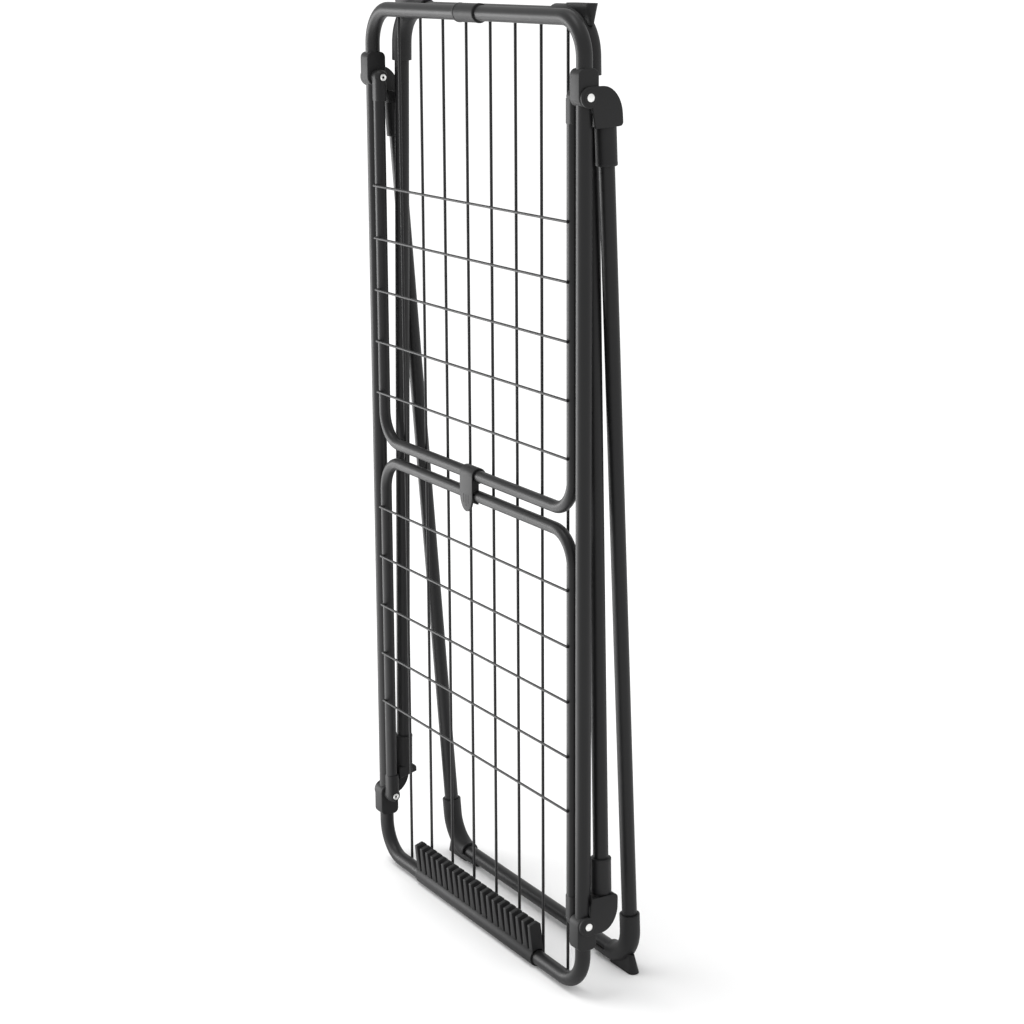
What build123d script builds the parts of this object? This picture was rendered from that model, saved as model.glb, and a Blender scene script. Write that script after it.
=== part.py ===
from build123d import *
import os
from math import cos, radians, sin, tan

# Folding laundry rack with two hinged wings and two U-shaped legs, folded flat and standing on end.
# Millimetres. X is the width, Y the depth (wings at the front, -Y; legs at the back, +Y), Z is up.
# Sizes are set out about the main frame's own plane; STAND_CENTRE then puts the origin on the floor
# under the middle of the folded rack's outer box.

# --- main frame -------------------------------------------------------------------------------
FRAME_WIDTH = 570.0
FRAME_HEIGHT = 1250.0
TUBE_D = 20.0
TUBE_WALL = 0.8
FRAME_BEND = 48.0
LONG_WIRE_D = 4.0
LONG_WIRE_COUNT = 8
LONG_WIRE_PITCH = 62.6
WIRE_END_LAP = 2.0

# --- sleeve and insert where the ends of the frame tube meet ------------------------------------
SLEEVE_LENGTH = 54.0
SLEEVE_WALL = 2.6
INSERT_LENGTH = 80.0
INSERT_WALL = 1.5

# --- comb for clothes hangers -------------------------------------------------------------------
TOOTH_COUNT = 21
TOOTH_PITCH = 16.0
TOOTH_ROOT = 13.2
TOOTH_TIP = 6.4
TOOTH_FRONT = -7.6
TOOTH_BACK = 9.3
TOOTH_FOOT_RISE = 6.0
TOOTH_FRONT_RISE = 48.5
TOOTH_PEAK_RISE = 51.2
TOOTH_PEAK_Y = 4.6
TOOTH_BACK_RISE = 46.8
TOOTH_CORNER = 2.0
COMB_WALL = 2.5
COMB_BACK_EDGE = 8.0
COMB_TILT = 6.5

# --- hinges -------------------------------------------------------------------------------------
HINGE_INSET = 92.0
BLOCK_HALF_WIDTH = 11.0
BLOCK_HALF_DEPTH = 14.0
BLOCK_INWARD = 11.5
BLOCK_OUTWARD = 34.0
BLOCK_OUTER_CORNER = 8.0
BLOCK_INNER_CORNER = 11.0
BLOCK_EDGE = 1.5
RIVET_R = 2.5
RIVET_HEAD_R = 5.0
RIVET_HEAD_H = 2.0
RUNNING_GAP = 0.05
SIDE_GAP = 0.3

# --- legs ---------------------------------------------------------------------------------------
LEG_OFFSET = 28.3
LEG_LENGTH = 1139.0
LEG_BEND = 48.0
LEG_TOP_X = 275.0
LEG_FOOT_X = 241.0
OUTER_LEG_ANGLE = 3.43
LEG_TUBE_START = 24.0
LEG_OPEN_ANGLE = 105.0
EAR_R = 13.0
EAR_THICK = 3.5
HEEL_TOP = 12.2
HEEL_DEPTH = 44.0
HEEL_FOOT = -37.0
HEEL_CORNER = 5.0
HEEL_ARC_Y = 18.0
HEEL_ARC_Z = -22.0
EAR_FRONT = 5.5
SOCKET_SLEEVE_R = 13.5
ELBOW_SLEEVE_FROM = 30.0
ELBOW_SLEEVE_TO = 84.0
STOP_CLEARANCE = 15.0

# --- boots --------------------------------------------------------------------------------------
BOOT_R = 13.5
BOOT_RISE = 70.0
BOOT_RUN = 75.0
TOE_HALF_WIDTH = 8.0
TOE_BACK = 46.0
TOE_OUT = 12.0
TOE_HEIGHT = 26.0
TOE_DRAFT = 10.0

# --- wings --------------------------------------------------------------------------------------
WING_TUBE_D = 16.0
WING_X = 254.0
WING_Y = -2.0
WING_LENGTH = 509.0
WING_BEND = 43.0
WING_TUBE_START = 12.0
WING_WIRE_D = 3.5
WING_WIRE_FIRST = 148.0
WING_WIRE_PITCH = 72.8
WING_WIRE_COUNT = 5
WING_WIRE_HALF = 256.5
WING_BOSS_R = 10.0
WING_BOSS_FACE_R = 6.8
WING_BOSS_SLOPE = 6.0
WING_SLEEVE_R = 9.0
WING_SLEEVE_TO = 32.0

# --- clip that holds the wings together ---------------------------------------------------------
CLIP_HALF_WIDTH = 17.0
CLIP_WALL = 2.8
CLIP_TONGUE = 50.0
TONGUE_ROUND = 24.0
CLIP_WEB = 9.0
JAW_GAP = 0.3
JAW_PAST_CENTRE = 1.5

# --- worked out from the above ------------------------------------------------------------------
# The comb's rail wraps under the bottom tube, so the frame stands on the rail.
TUBE_R = TUBE_D / 2
SIDE_X = FRAME_WIDTH / 2 - TUBE_R
END_LOW = TUBE_R + COMB_WALL
END_HIGH = COMB_WALL + FRAME_HEIGHT - TUBE_R
MIDDLE = (END_LOW + END_HIGH) / 2
HINGE_HIGH = END_HIGH - HINGE_INSET
HINGE_LOW = END_LOW + HINGE_INSET
EAR_X = SIDE_X + BLOCK_HALF_WIDTH + SIDE_GAP
EAR_OUT = EAR_X + EAR_THICK
WING_BOSS_OUT = SIDE_X - BLOCK_HALF_WIDTH - SIDE_GAP
WING_BOSS_IN = WING_X - WING_SLEEVE_R
WING_R = WING_TUBE_D / 2
COMB_HALF = (TOOTH_COUNT - 1) / 2 * TOOTH_PITCH + TOOTH_TIP / 2

# The outer leg's sole touches the floor with its front edge when the rack stands folded.
SOLE_DROP = (
    HINGE_HIGH + (LEG_OFFSET - TOE_HALF_WIDTH) * sin(radians(OUTER_LEG_ANGLE))
) / cos(radians(OUTER_LEG_ANGLE)) - LEG_LENGTH

# Front-to-back middle of the folded rack, from the hinge blocks to the outer leg's boots.
STAND_CENTRE = 47.95

MIRROR_X = Plane.YZ
MIRROR_HEIGHT = Plane.XY.offset(MIDDLE)


def bent_rod(corners, bend, radius, closed=False):
    """A round bar whose centre line runs through the corners, with the same bend at each."""
    path = FilletPolyline(*corners, radius=bend, close=closed)
    return sweep((path ^ 0) * Circle(radius), path=path)


def rod(radius, start, end):
    """A straight round bar between two points."""
    line = Line(start, end)
    return sweep((line ^ 0) * Circle(radius), path=line)


def x_rod(radius, x_from, x_to, y, z):
    """A straight round bar along X."""
    return rod(radius, (x_from, y, z), (x_to, y, z))


def side_profile(face, x_from, x_to):
    """A YZ outline drawn with Y across and Z up, extruded from one X to another."""
    return extrude(Plane.YZ.offset(x_from) * face, x_to - x_from)


def hinge_bore(z):
    """The rivet's own diameter, right through the frame's side."""
    return x_rod(RIVET_R, WING_X - 20, EAR_OUT + 10, 0, z)


def left_of(part):
    return mirror(part, about=MIRROR_X)


def lower_of(part):
    return mirror(part, about=MIRROR_HEIGHT)


# ---------------------------------------------------------------------------- main frame
def frame_corners():
    return [
        (SIDE_X, 0, END_LOW),
        (SIDE_X, 0, END_HIGH),
        (-SIDE_X, 0, END_HIGH),
        (-SIDE_X, 0, END_LOW),
    ]


def frame_bar():
    return bent_rod(frame_corners(), FRAME_BEND, TUBE_R, closed=True)


def main_frame_tube():
    """One tube bent into a loop, drilled for the four rivets."""
    tube = frame_bar() - bent_rod(frame_corners(), FRAME_BEND, TUBE_R - TUBE_WALL, closed=True)
    for z in (HINGE_HIGH, HINGE_LOW):
        bore = hinge_bore(z)
        tube = tube - bore - left_of(bore)
    return tube


def long_wires():
    """Eight wires welded across the back of the end tubes."""
    y = TUBE_R + LONG_WIRE_D / 2
    first = -(LONG_WIRE_COUNT - 1) / 2 * LONG_WIRE_PITCH
    xs = [first + i * LONG_WIRE_PITCH for i in range(LONG_WIRE_COUNT)]
    return [
        rod(LONG_WIRE_D / 2, (x, y, END_LOW - WIRE_END_LAP), (x, y, END_HIGH + WIRE_END_LAP))
        for x in xs
    ]


def joint_sleeve():
    """Plain moulded sleeve over the place where the tube's ends meet."""
    half = SLEEVE_LENGTH / 2
    outer = x_rod(TUBE_R + SLEEVE_WALL, -half, half, 0, END_HIGH)
    outer = chamfer(outer.edges().filter_by(GeomType.CIRCLE), 0.6)
    return outer - x_rod(TUBE_R, -half, half, 0, END_HIGH)


def joint_insert():
    """Short tube pushed inside both ends under the sleeve."""
    half = INSERT_LENGTH / 2
    radius = TUBE_R - TUBE_WALL
    outer = x_rod(radius, -half, half, 0, END_HIGH)
    return outer - x_rod(radius - INSERT_WALL, -half, half, 0, END_HIGH)


# ---------------------------------------------------------------------------- hanger comb
def tilted(part):
    """The comb is snapped on with its teeth leaning a little towards the wings."""
    return part.rotate(Axis((0, 0, END_LOW), (1, 0, 0)), COMB_TILT)


def comb_rail():
    """Channel snapped on the bottom end tube, open at the back where the wires are welded."""
    outer = x_rod(TUBE_R + COMB_WALL, -COMB_HALF, COMB_HALF, 0, END_LOW)
    outer -= x_rod(TUBE_R, -COMB_HALF, COMB_HALF, 0, END_LOW)
    back = Pos(0, COMB_BACK_EDGE + 20, END_LOW) * Box(3 * COMB_HALF, 40, 60)
    return tilted(outer - back)


def comb_teeth():
    """Tapered teeth, thick at the root, with V-shaped slots between them for hanger hooks."""
    foot = END_LOW + TOOTH_FOOT_RISE
    peak = END_LOW + TOOTH_PEAK_RISE
    outline = make_face(
        Polyline(
            (TOOTH_FRONT, foot),
            (TOOTH_FRONT, END_LOW + TOOTH_FRONT_RISE),
            (TOOTH_PEAK_Y, peak),
            (TOOTH_BACK, END_LOW + TOOTH_BACK_RISE),
            (TOOTH_BACK, foot),
            close=True,
        )
    )
    outline = fillet(outline.vertices().group_by(Axis.Y)[-1], TOOTH_CORNER)
    rail = x_rod(TUBE_R + COMB_WALL, -2 * COMB_HALF, 2 * COMB_HALF, 0, END_LOW)
    half_root, half_tip = TOOTH_ROOT / 2, TOOTH_TIP / 2
    taper = make_face(
        Polyline(
            (-half_root, foot),
            (-half_tip, peak),
            (half_tip, peak),
            (half_root, foot),
            close=True,
        )
    )
    blade = side_profile(outline, -TOOTH_ROOT, TOOTH_ROOT)
    blade &= extrude(Plane.XZ * taper, 30, both=True)
    blade -= rail
    first = -(TOOTH_COUNT - 1) / 2 * TOOTH_PITCH
    teeth = [Pos(first + i * TOOTH_PITCH, 0, 0) * blade for i in range(TOOTH_COUNT)]
    between_ends = Pos(0, 0, peak) * Box(2 * COMB_HALF, 60, 200)
    return [tilted(tooth & between_ends) for tooth in teeth]


# ---------------------------------------------------------------------------- hinges
def hinge_block():
    """Upper right block, moulded round the frame tube."""
    outline = make_face(
        Polyline(
            (-BLOCK_HALF_DEPTH, -BLOCK_INWARD),
            (-BLOCK_HALF_DEPTH, BLOCK_OUTWARD),
            (BLOCK_HALF_DEPTH, BLOCK_OUTWARD),
            (BLOCK_HALF_DEPTH, -BLOCK_INWARD),
            close=True,
        )
    )
    ends = outline.vertices().group_by(Axis.Y)
    outline = fillet(ends[-1], BLOCK_OUTER_CORNER)
    ends = outline.vertices().group_by(Axis.Y)
    outline = fillet(ends[0], BLOCK_INNER_CORNER)
    block = side_profile(outline, SIDE_X - BLOCK_HALF_WIDTH, SIDE_X + BLOCK_HALF_WIDTH)
    faces = block.faces().sort_by(Axis.X)
    block = fillet(faces[0].edges() + faces[-1].edges(), BLOCK_EDGE)
    block = Pos(0, 0, HINGE_HIGH) * block
    return block - frame_bar() - hinge_bore(HINGE_HIGH)


def hinge_rivet():
    """Upper right rivet: domed head outside, rolled hollow end inside."""
    tail = WING_BOSS_IN - SIDE_GAP
    shank = x_rod(RIVET_R, tail - 1.2, EAR_OUT + 0.2, 0, 0)
    head = x_rod(RIVET_HEAD_R, EAR_OUT + 0.1, EAR_OUT + RIVET_HEAD_H, 0, 0)
    head = fillet(head.edges().sort_by(Axis.X)[-1], 1.5)
    roll = x_rod(RIVET_HEAD_R - 0.4, tail - 1.4, tail, 0, 0)
    roll = fillet(roll.edges().filter_by(GeomType.CIRCLE), 0.6)
    hollow = x_rod(RIVET_R - 0.8, tail - 5, tail + 8, 0, 0)
    return Pos(0, 0, HINGE_HIGH) * (shank + head + roll - hollow)


# ---------------------------------------------------------------------------- legs
def leg_corners():
    """Centre line of a leg hanging straight down from an axis at the origin."""
    start_x = LEG_TOP_X + (LEG_FOOT_X - LEG_TOP_X) * LEG_TUBE_START / LEG_LENGTH
    return [
        (start_x, LEG_OFFSET, -LEG_TUBE_START),
        (LEG_FOOT_X, LEG_OFFSET, -LEG_LENGTH),
        (-LEG_FOOT_X, LEG_OFFSET, -LEG_LENGTH),
        (-start_x, LEG_OFFSET, -LEG_TUBE_START),
    ]


def leg_bar():
    return bent_rod(leg_corners(), LEG_BEND, TUBE_R)


def leg_tube():
    return leg_bar() - bent_rod(leg_corners(), LEG_BEND, TUBE_R - TUBE_WALL)


def heel_outline(front_edge):
    """Side view of the heel: flat on top, swept round the back, square at the foot."""
    arc = EllipticalCenterArc(
        (HEEL_ARC_Y, HEEL_ARC_Z),
        HEEL_DEPTH - HEEL_ARC_Y,
        HEEL_TOP - HEEL_ARC_Z,
        arc_size=90,
    )
    rest = Polyline(
        (HEEL_ARC_Y, HEEL_TOP),
        (0, HEEL_TOP),
        *front_edge,
        (HEEL_DEPTH, HEEL_FOOT),
        (HEEL_DEPTH, HEEL_ARC_Z),
    )
    heel = make_face([*arc.edges(), *rest.edges()])
    back_foot = heel.vertices().group_by(Axis.Y)[0].sort_by(Axis.X)[-1]
    return fillet(back_foot, HEEL_CORNER)


def leg_elbow():
    """Right elbow: a thin ear over the hinge block, a heel that stops the open leg, a sleeve."""
    ear_front = [(0, -EAR_R + 1), (EAR_FRONT - 3, -EAR_R + 1), (EAR_FRONT, HEEL_FOOT)]
    ear = side_profile(heel_outline(ear_front) + Circle(EAR_R), EAR_X, EAR_OUT)

    lean = tan(radians(LEG_OPEN_ANGLE - 90))
    above_stop = make_face(
        Polyline(
            (-40, -STOP_CLEARANCE + 40 * lean),
            (80, -STOP_CLEARANCE - 80 * lean),
            (80, 80),
            (-40, 80),
            close=True,
        )
    )
    inner_x = LEG_TOP_X - 1 - SOCKET_SLEEVE_R
    sleeve_front = LEG_OFFSET - SOCKET_SLEEVE_R
    body_front = [(0, -EAR_R), (sleeve_front, -EAR_R), (sleeve_front, HEEL_FOOT)]
    body = side_profile(heel_outline(body_front) - above_stop, inner_x, EAR_OUT)
    inner_edges = body.faces().sort_by(Axis.X)[0].edges()
    body = fillet(inner_edges, 2.0)

    slope = (LEG_FOOT_X - LEG_TOP_X) / LEG_LENGTH
    sleeve = rod(
        SOCKET_SLEEVE_R,
        (LEG_TOP_X + slope * ELBOW_SLEEVE_FROM, LEG_OFFSET, -ELBOW_SLEEVE_FROM),
        (LEG_TOP_X + slope * ELBOW_SLEEVE_TO, LEG_OFFSET, -ELBOW_SLEEVE_TO),
    )
    sleeve = fillet(sleeve.edges().sort_by(Axis.Z)[0], 1.2)
    bore = x_rod(RIVET_R + RUNNING_GAP, EAR_X - 5, EAR_OUT + 5, 0, 0)
    return ear + body + sleeve - leg_bar() - bore


def leg_boot():
    """Right boot: a channel moulded round the corner, with a flat sole and a flared toe."""
    rise_x = LEG_TOP_X + (LEG_FOOT_X - LEG_TOP_X) * (LEG_LENGTH - BOOT_RISE) / LEG_LENGTH
    corners = [
        (rise_x, LEG_OFFSET, -LEG_LENGTH + BOOT_RISE),
        (LEG_FOOT_X, LEG_OFFSET, -LEG_LENGTH),
        (LEG_FOOT_X - BOOT_RUN, LEG_OFFSET, -LEG_LENGTH),
    ]
    shell = bent_rod(corners, LEG_BEND, BOOT_R)
    sole = -LEG_LENGTH - SOLE_DROP
    pad_length = TOE_BACK + TOE_OUT
    pad = SlotOverall(pad_length, 2 * TOE_HALF_WIDTH)
    pad = Plane((LEG_FOOT_X + TOE_OUT - pad_length / 2, LEG_OFFSET, sole)) * pad
    toe = extrude(pad, TOE_HEIGHT, taper=TOE_DRAFT)
    run_end = LEG_FOOT_X - LEG_BEND + 2
    open_top = Pos(run_end - 50, LEG_OFFSET, -LEG_LENGTH + 50) * Box(100, 60, 100)
    return shell + toe - leg_bar() - open_top


def outer_leg(part):
    """From leg coordinates to the rack's: hinged at the top and a few degrees open."""
    return Pos(0, 0, HINGE_HIGH) * Rot(OUTER_LEG_ANGLE, 0, 0) * part


def inner_leg(part):
    """From leg coordinates to the rack's: hinged at the bottom, pointing up."""
    return Pos(0, 0, HINGE_LOW) * mirror(part, about=Plane.XY)


# ---------------------------------------------------------------------------- wings
def wing_corners():
    end = HINGE_HIGH - WING_LENGTH
    start = HINGE_HIGH - WING_TUBE_START
    return [
        (WING_X, WING_Y, start),
        (WING_X, WING_Y, end),
        (-WING_X, WING_Y, end),
        (-WING_X, WING_Y, start),
    ]


def wing_tube():
    outer = bent_rod(wing_corners(), WING_BEND, WING_R)
    return outer - bent_rod(wing_corners(), WING_BEND, WING_R - TUBE_WALL)


def wing_wires():
    y = WING_Y - WING_R - WING_WIRE_D / 2
    zs = [HINGE_HIGH - WING_WIRE_FIRST - i * WING_WIRE_PITCH for i in range(WING_WIRE_COUNT)]
    return [x_rod(WING_WIRE_D / 2, -WING_WIRE_HALF, WING_WIRE_HALF, y, z) for z in zs]


def wing_socket():
    """Right socket of the upper wing: a boss that turns on the rivet and a sleeve on the tube."""
    boss = x_rod(WING_BOSS_R, WING_BOSS_IN, WING_BOSS_OUT, 0, HINGE_HIGH)
    boss = chamfer(boss.edges().group_by(Axis.X)[0], WING_BOSS_SLOPE, WING_BOSS_R - WING_BOSS_FACE_R)
    sleeve = rod(
        WING_SLEEVE_R,
        (WING_X, WING_Y, HINGE_HIGH - 2),
        (WING_X, WING_Y, HINGE_HIGH - WING_SLEEVE_TO),
    )
    sleeve = fillet(sleeve.edges().sort_by(Axis.Z)[0], 0.8)
    bore = x_rod(RIVET_R + RUNNING_GAP, WING_BOSS_IN - 5, WING_BOSS_OUT + 5, 0, HINGE_HIGH)
    return boss + sleeve - bent_rod(wing_corners(), WING_BEND, WING_R) - bore


def wing_clip():
    """Turns on the upper wing's end tube; its jaw holds the lower wing's end tube."""
    upper_z = HINGE_HIGH - WING_LENGTH
    lower_z = 2 * MIDDLE - upper_z
    ring_in = WING_R + RUNNING_GAP
    ring_out = WING_R + CLIP_WALL
    front = WING_Y - ring_out
    ring = Pos(WING_Y, upper_z) * Circle(ring_out)
    jaw_outer = Pos(WING_Y, lower_z) * Circle(ring_out)
    jaw_limit = Pos(WING_Y + JAW_PAST_CENTRE + 50, lower_z) * Rectangle(100, 40)
    plate = Pos(front + CLIP_WALL / 2, (upper_z + lower_z) / 2) * Rectangle(
        CLIP_WALL, upper_z - lower_z
    )
    web = Pos(WING_Y - CLIP_WEB / 2, (upper_z + lower_z) / 2) * Rectangle(
        CLIP_WEB, upper_z - lower_z - WING_R
    )
    section = ring + (jaw_outer - jaw_limit) + plate + web
    section -= Pos(WING_Y, upper_z) * Circle(ring_in)
    section -= Pos(WING_Y, lower_z) * Circle(WING_R + JAW_GAP)
    clip = side_profile(section, -CLIP_HALF_WIDTH, CLIP_HALF_WIDTH)

    round_z = upper_z - CLIP_TONGUE + TONGUE_ROUND
    tongue = Pos(0, round_z) * Ellipse(CLIP_HALF_WIDTH, TONGUE_ROUND)
    tongue += Pos(0, (upper_z + round_z) / 2) * Rectangle(2 * CLIP_HALF_WIDTH, upper_z - round_z)
    tongue = Pos(0, front + CLIP_WALL, 0) * extrude(Plane.XZ * tongue, CLIP_WALL)
    return clip + tongue


# ---------------------------------------------------------------------------- export
def all_parts():
    parts = {
        "main_frame_tube": main_frame_tube(),
        "long_wires": long_wires(),
        "joint_sleeve": joint_sleeve(),
        "joint_insert": joint_insert(),
        "comb_rail": comb_rail(),
        "comb_teeth": comb_teeth(),
        "wing_clip": wing_clip(),
    }
    hinge_parts = {"hinge_block": hinge_block(), "hinge_rivet": hinge_rivet()}
    for name, part in hinge_parts.items():
        parts[f"{name}_upper_right"] = part
        parts[f"{name}_upper_left"] = left_of(part)
        parts[f"{name}_lower_right"] = lower_of(part)
        parts[f"{name}_lower_left"] = lower_of(left_of(part))

    tube, elbow, boot = leg_tube(), leg_elbow(), leg_boot()
    for leg, place in (("outer_leg", outer_leg), ("inner_leg", inner_leg)):
        parts[f"{leg}_tube"] = place(tube)
        for piece, right in (("elbow", elbow), ("boot", boot)):
            parts[f"{leg}_{piece}_right"] = place(right)
            parts[f"{leg}_{piece}_left"] = place(left_of(right))

    socket = wing_socket()
    upper_wing = {
        "tube": [wing_tube()],
        "wires": wing_wires(),
        "socket_right": [socket],
        "socket_left": [left_of(socket)],
    }
    for piece, solids in upper_wing.items():
        parts[f"upper_wing_{piece}"] = solids
        parts[f"lower_wing_{piece}"] = [lower_of(s) for s in solids]
    return parts


def write_parts():
    os.makedirs("parts", exist_ok=True)
    lows, highs = [], []
    for name, shapes in all_parts().items():
        shapes = shapes if isinstance(shapes, list) else [shapes]
        solids = [s for shape in shapes for s in shape.solids()]
        moved = [s.moved(Location((0, -STAND_CENTRE, 0))) for s in solids]
        whole = Compound(children=moved) if len(moved) > 1 else moved[0]
        whole.label = name
        export_step(whole, f"parts/{name}.step")
        box = whole.bounding_box()
        lows.append(box.min)
        highs.append(box.max)
    for axis in "XYZ":
        low = min(getattr(v, axis) for v in lows)
        high = max(getattr(v, axis) for v in highs)
        print(f"{axis}: {low:.3f} to {high:.3f}, middle {(low + high) / 2:.3f}")


write_parts()
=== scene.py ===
from math import cos, pi, radians, sin, tan

import bmesh
import bpy
from mathutils import Matrix, Vector


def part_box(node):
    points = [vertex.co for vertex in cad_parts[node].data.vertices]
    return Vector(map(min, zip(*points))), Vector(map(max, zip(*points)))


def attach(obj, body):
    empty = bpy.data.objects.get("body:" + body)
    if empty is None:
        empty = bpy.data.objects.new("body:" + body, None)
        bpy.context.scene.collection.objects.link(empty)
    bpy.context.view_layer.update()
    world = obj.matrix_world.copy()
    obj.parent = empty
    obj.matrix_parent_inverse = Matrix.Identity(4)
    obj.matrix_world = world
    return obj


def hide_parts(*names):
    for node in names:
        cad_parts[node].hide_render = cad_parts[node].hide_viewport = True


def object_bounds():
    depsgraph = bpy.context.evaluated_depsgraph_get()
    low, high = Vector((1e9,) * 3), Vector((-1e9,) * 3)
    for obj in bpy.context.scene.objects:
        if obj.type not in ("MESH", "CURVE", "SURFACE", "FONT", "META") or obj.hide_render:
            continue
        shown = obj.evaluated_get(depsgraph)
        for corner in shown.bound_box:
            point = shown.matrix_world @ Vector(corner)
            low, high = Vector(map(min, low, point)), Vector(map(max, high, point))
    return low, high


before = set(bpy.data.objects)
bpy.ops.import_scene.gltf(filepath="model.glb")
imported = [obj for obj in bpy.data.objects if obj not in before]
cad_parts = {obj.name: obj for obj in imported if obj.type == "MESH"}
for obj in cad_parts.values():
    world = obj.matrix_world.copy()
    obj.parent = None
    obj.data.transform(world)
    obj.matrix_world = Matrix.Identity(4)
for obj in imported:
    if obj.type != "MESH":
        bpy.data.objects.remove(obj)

cad_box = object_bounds()
MM = 0.001

# ------------------------------------------------------------------ main frame tube
# One steel tube bent into a loop, with its two ends meeting in the middle of the top run.
# It is powder coated satin black, a thick skin with a faint orange peel, and it carries
# everything else.
tube_low, tube_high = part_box("main_frame_tube")
TUBE_R = (tube_high.y - tube_low.y) / 2
FRAME_Y = (tube_low.y + tube_high.y) / 2
SIDE_X = tube_high.x - TUBE_R
END_LOW = tube_low.z + TUBE_R
END_HIGH = tube_high.z - TUBE_R
FRAME_BEND = 48 * MM
TUBE_SIDES = 40
BEND_STEPS = 16
WELD_GAP = 0.01 * MM


def verts_of(edges):
    return list({v for e in edges for v in e.verts})


def push_ring(shape, ring, travel):
    """Draws an open ring of edges out along a vector and gives back the new ring."""
    grown = bmesh.ops.extrude_edge_only(shape, edges=ring)["geom"]
    new_verts = [g for g in grown if isinstance(g, bmesh.types.BMVert)]
    bmesh.ops.translate(shape, verts=new_verts, vec=travel)
    known = set(new_verts)
    return [g for g in grown if isinstance(g, bmesh.types.BMEdge) and known.issuperset(g.verts)]


def turn_ring(shape, ring, centre, axis, angle, steps):
    """Turns an open ring of edges round a bend and gives back the last ring."""
    spun = bmesh.ops.spin(
        shape, geom=verts_of(ring) + ring, cent=centre, axis=axis, dvec=(0, 0, 0), angle=angle,
        steps=steps, use_merge=False, use_normal_flip=False, use_duplicate=False,
    )
    return [g for g in spun["geom_last"] if isinstance(g, bmesh.types.BMEdge)]


def first_ring(shape, here, heading, radius, sides):
    """A circle of edges about a point, square to a direction."""
    place = Matrix.Translation(here) @ heading.to_track_quat("Z", "Y").to_matrix().to_4x4()
    made = bmesh.ops.create_circle(
        shape, cap_ends=False, segments=sides, radius=radius, matrix=place
    )
    return list({e for v in made["verts"] for e in v.link_edges})


def bent_tube(corners, bend, radius, closed=False, capped=True, sides=TUBE_SIDES):
    """A tube pushed along its straight runs and turned round each bend, as a bender makes it."""
    shape = bmesh.new()
    stops = [Vector(c) for c in corners]
    if closed:
        seam = (stops[-1] + stops[0]) / 2
        stops = [seam] + stops + [seam]
    here = stops[0]
    heading = (stops[1] - here).normalized()
    ring = first_ring(shape, here, heading, radius, sides)
    for corner, after in zip(stops[1:-1], stops[2:]):
        next_heading = (after - corner).normalized()
        angle = heading.angle(next_heading)
        axis = heading.cross(next_heading).normalized()
        reach = bend * tan(angle / 2)
        bend_start = corner - heading * reach
        ring = push_ring(shape, ring, bend_start - here)
        centre = bend_start + axis.cross(heading) * bend
        ring = turn_ring(shape, ring, centre, axis, angle, BEND_STEPS)
        here = corner + next_heading * reach
        heading = next_heading
    push_ring(shape, ring, stops[-1] - here)
    if closed:
        bmesh.ops.remove_doubles(shape, verts=shape.verts, dist=WELD_GAP)
    elif capped:
        bmesh.ops.holes_fill(shape, edges=shape.edges, sides=sides)
    return shape


def piece(name, shape, body, slot, paint, *nodes, crease=35):
    """Turns a finished shape into a piece that rides on a body and stands for CAD nodes."""
    bmesh.ops.recalc_face_normals(shape, faces=shape.faces)
    mesh = bpy.data.meshes.new(name)
    shape.to_mesh(mesh)
    shape.free()
    mesh.materials.append(paint)
    mesh.shade_smooth()
    mesh.set_sharp_from_angle(angle=radians(crease))
    made = bpy.data.objects.new(name, mesh)
    bpy.context.scene.collection.objects.link(made)
    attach(made, body)
    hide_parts(*nodes)
    return made


def skin_group():
    """Grain, slow clouding and faint rub marks of a coated or moulded surface."""
    group = bpy.data.node_groups.new("skin", "ShaderNodeTree")
    face = group.interface
    face.new_socket("Vector", in_out="INPUT", socket_type="NodeSocketVector")
    for name, value in (("Grain Scale", 900.0), ("Cloud Scale", 9.0), ("Rub Scale", 60.0)):
        face.new_socket(name, in_out="INPUT", socket_type="NodeSocketFloat").default_value = value
    for name in ("Grain", "Cloud", "Rub"):
        face.new_socket(name, in_out="OUTPUT", socket_type="NodeSocketFloat")
    nodes, links = group.nodes, group.links
    inside = nodes.new("NodeGroupInput")
    outside = nodes.new("NodeGroupOutput")
    for name, detail, rough in (("Grain", 2.0, 0.5), ("Cloud", 4.0, 0.6), ("Rub", 6.0, 0.7)):
        noise = nodes.new("ShaderNodeTexNoise")
        noise.inputs["Detail"].default_value = detail
        noise.inputs["Roughness"].default_value = rough
        links.new(inside.outputs["Vector"], noise.inputs["Vector"])
        links.new(inside.outputs[f"{name} Scale"], noise.inputs["Scale"])
        if name == "Rub":
            pick = nodes.new("ShaderNodeMapRange")
            pick.inputs["From Min"].default_value = 0.58
            pick.inputs["From Max"].default_value = 0.74
            links.new(noise.outputs["Fac"], pick.inputs["Value"])
            links.new(pick.outputs["Result"], outside.inputs[name])
        else:
            links.new(noise.outputs["Fac"], outside.inputs[name])
    return group


SKIN = skin_group()


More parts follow.
